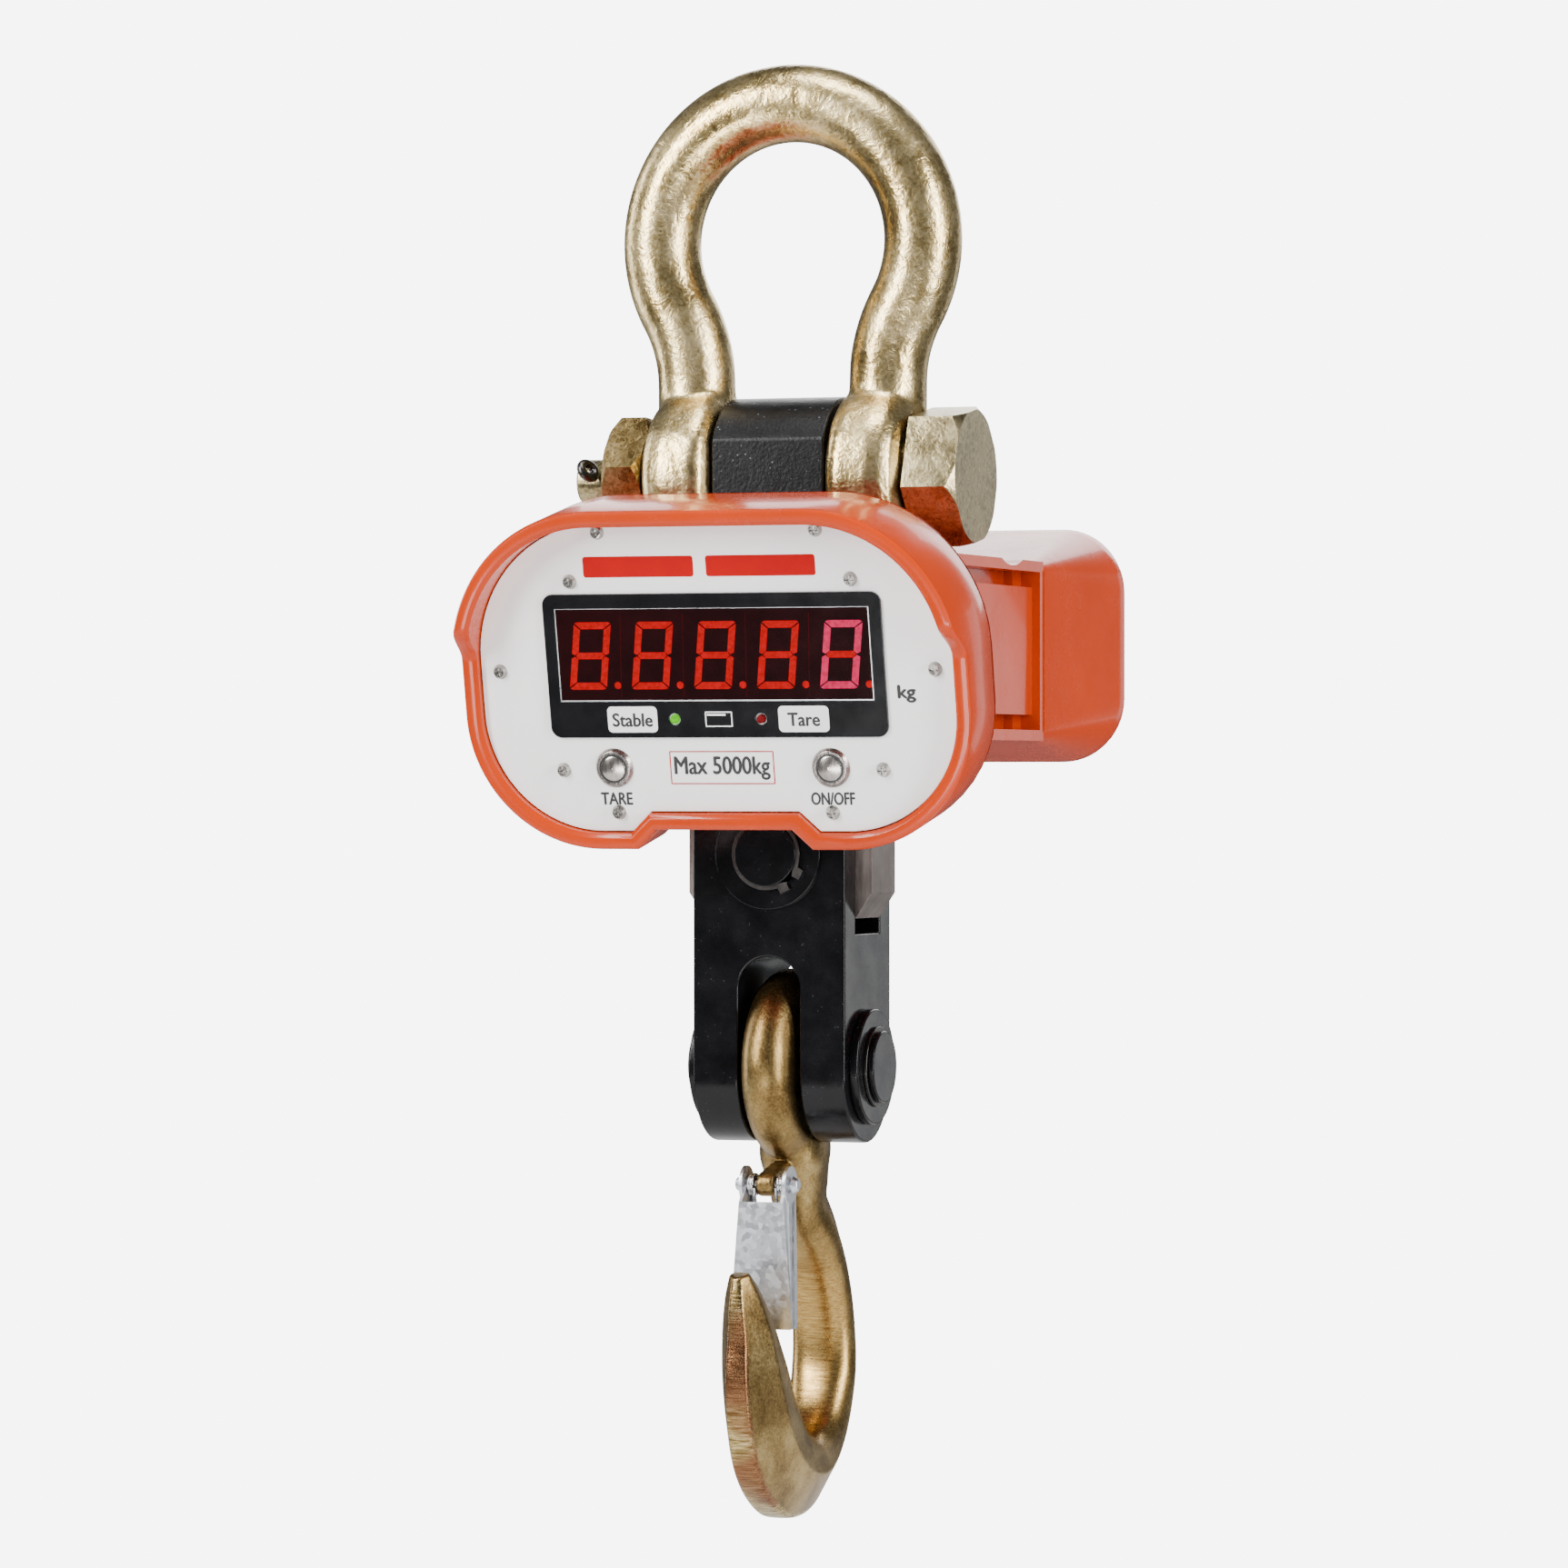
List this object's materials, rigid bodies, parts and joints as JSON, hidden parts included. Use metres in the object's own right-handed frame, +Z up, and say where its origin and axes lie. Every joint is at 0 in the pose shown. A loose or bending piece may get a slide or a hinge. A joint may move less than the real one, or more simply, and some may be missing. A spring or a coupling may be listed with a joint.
{
  "type": "crane scale",
  "caption": "Hanging crane scale: bow shackle, orange cast case with a tilted red digit display, black yoke and an eye hook with a sprung safety latch.",
  "frame": {"origin": "the point of the shackle bow's crown that rests in the crane's hook: the inside of the bar, on the middle plane", "axes": "+Z up, the display faces -Y, +X to the right of a person who reads the display"},
  "size_m": [0.242, 0.2711, 0.67],
  "materials": {
    "bow_zinc": "satin",
    "bolt_zinc": "satin",
    "nut_zinc": "satin",
    "dark_steel": "satin",
    "black_paint": "satin",
    "cell_nickel": "satin",
    "cable_black": "matte",
    "orange_case": "gloss",
    "bare_aluminium": "satin",
    "screw_steel": "satin",
    "panel_white": "satin",
    "gasket_rubber": "matte",
    "bezel_black": "gloss",
    "window_red": "gloss",
    "module_dark": "satin",
    "board_green": "satin",
    "standoff_brass": "satin",
    "led_green": "gloss",
    "led_red": "gloss",
    "switch_steel": "satin",
    "button_steel": "satin",
    "ribbon_grey": "satin",
    "battery_wrap": "satin",
    "bracket_steel": "satin",
    "lead_red": "satin",
    "socket_black": "satin",
    "hook_zinc": "satin",
    "latch_zinc": "satin",
    "spring_steel": "satin"
  },
  "bodies": {
    "shackle": {"shackle_bow": "bow_zinc", "shackle_bolt": "bolt_zinc", "shackle_nut": "nut_zinc", "cotter_pin": "dark_steel"},
    "hanger": {"hanger_block": "black_paint", "upper_pin": "black_paint", "upper_pin_rings": "dark_steel"},
    "scale_body": {"load_cell": "cell_nickel", "load_cell_covers": "cell_nickel", "load_cell_cable": "cable_black", "front_housing": "orange_case", "side_boxes": "orange_case", "rear_housing": "orange_case", "case_screws": "screw_steel", "case_spacers": "bare_aluminium", "case_mount_bolts": "screw_steel", "front_panel": "panel_white", "panel_gasket": "gasket_rubber", "panel_screws": "screw_steel", "display_bezel": "bezel_black", "display_window": "window_red", "digit_modules": "module_dark", "display_board": "board_green", "display_standoffs": "standoff_brass", "steady_led": "led_green", "tare_led": "led_red", "tare_switch_body": "switch_steel", "power_switch_body": "switch_steel", "switch_nuts": "switch_steel", "main_board": "board_green", "board_standoffs": "standoff_brass", "display_cable": "ribbon_grey", "battery": "battery_wrap", "battery_bracket": "bracket_steel", "battery_leads": "lead_red", "rear_cover": "orange_case", "rear_gasket": "gasket_rubber", "rear_screws": "screw_steel", "charge_socket": "socket_black"},
    "yoke": {"yoke": "black_paint", "yoke_pin": "black_paint", "yoke_pin_washers": "black_paint", "yoke_pin_rings": "dark_steel", "hook_pin": "black_paint", "hook_pin_collars": "black_paint", "hook_pin_rings": "dark_steel"},
    "hook": {"hook": "hook_zinc", "latch_pin": "latch_zinc"},
    "latch": {"latch": "latch_zinc", "latch_spring": "spring_steel"},
    "tare_button": {"tare_button": "button_steel"},
    "power_button": {"power_button": "button_steel"}
  },
  "joints": [
    {"name": "shackle_pivot", "type": "hinge", "parent": "shackle", "child": "hanger", "pos_m": [0, 0, -0.1555], "axis": [1, 0, 0], "range_deg": [-75, 75]},
    {"name": "hanger_pivot", "type": "hinge", "parent": "hanger", "child": "scale_body", "pos_m": [0, 0, -0.2205], "axis": [0, 1, 0], "range_deg": [-3, 3]},
    {"name": "yoke_pivot", "type": "hinge", "parent": "scale_body", "child": "yoke", "pos_m": [0, 0, -0.3285], "axis": [0, 1, 0], "range_deg": [-10, 10]},
    {"name": "hook_pivot", "type": "hinge", "parent": "yoke", "child": "hook", "pos_m": [0, 0, -0.4265], "axis": [1, 0, 0], "range_deg": [-75, 75]},
    {"name": "latch_pivot", "type": "hinge", "parent": "hook", "child": "latch", "pos_m": [0, -0.0325, -0.4796], "axis": [1, 0, 0], "range_deg": [0, 40], "stiffness_Nm_per_rad": 0.06, "springref_deg": -34.38},
    {"name": "tare_press", "type": "slide", "parent": "scale_body", "child": "tare_button", "axis": [0, 0.9792, 0.2028], "range_m": [0, 0.001], "stiffness_N_per_m": 300, "springref_m": -0.001},
    {"name": "power_press", "type": "slide", "parent": "scale_body", "child": "power_button", "axis": [0, 0.9792, 0.2028], "range_m": [0, 0.001], "stiffness_N_per_m": 300, "springref_m": -0.001}
  ]
}
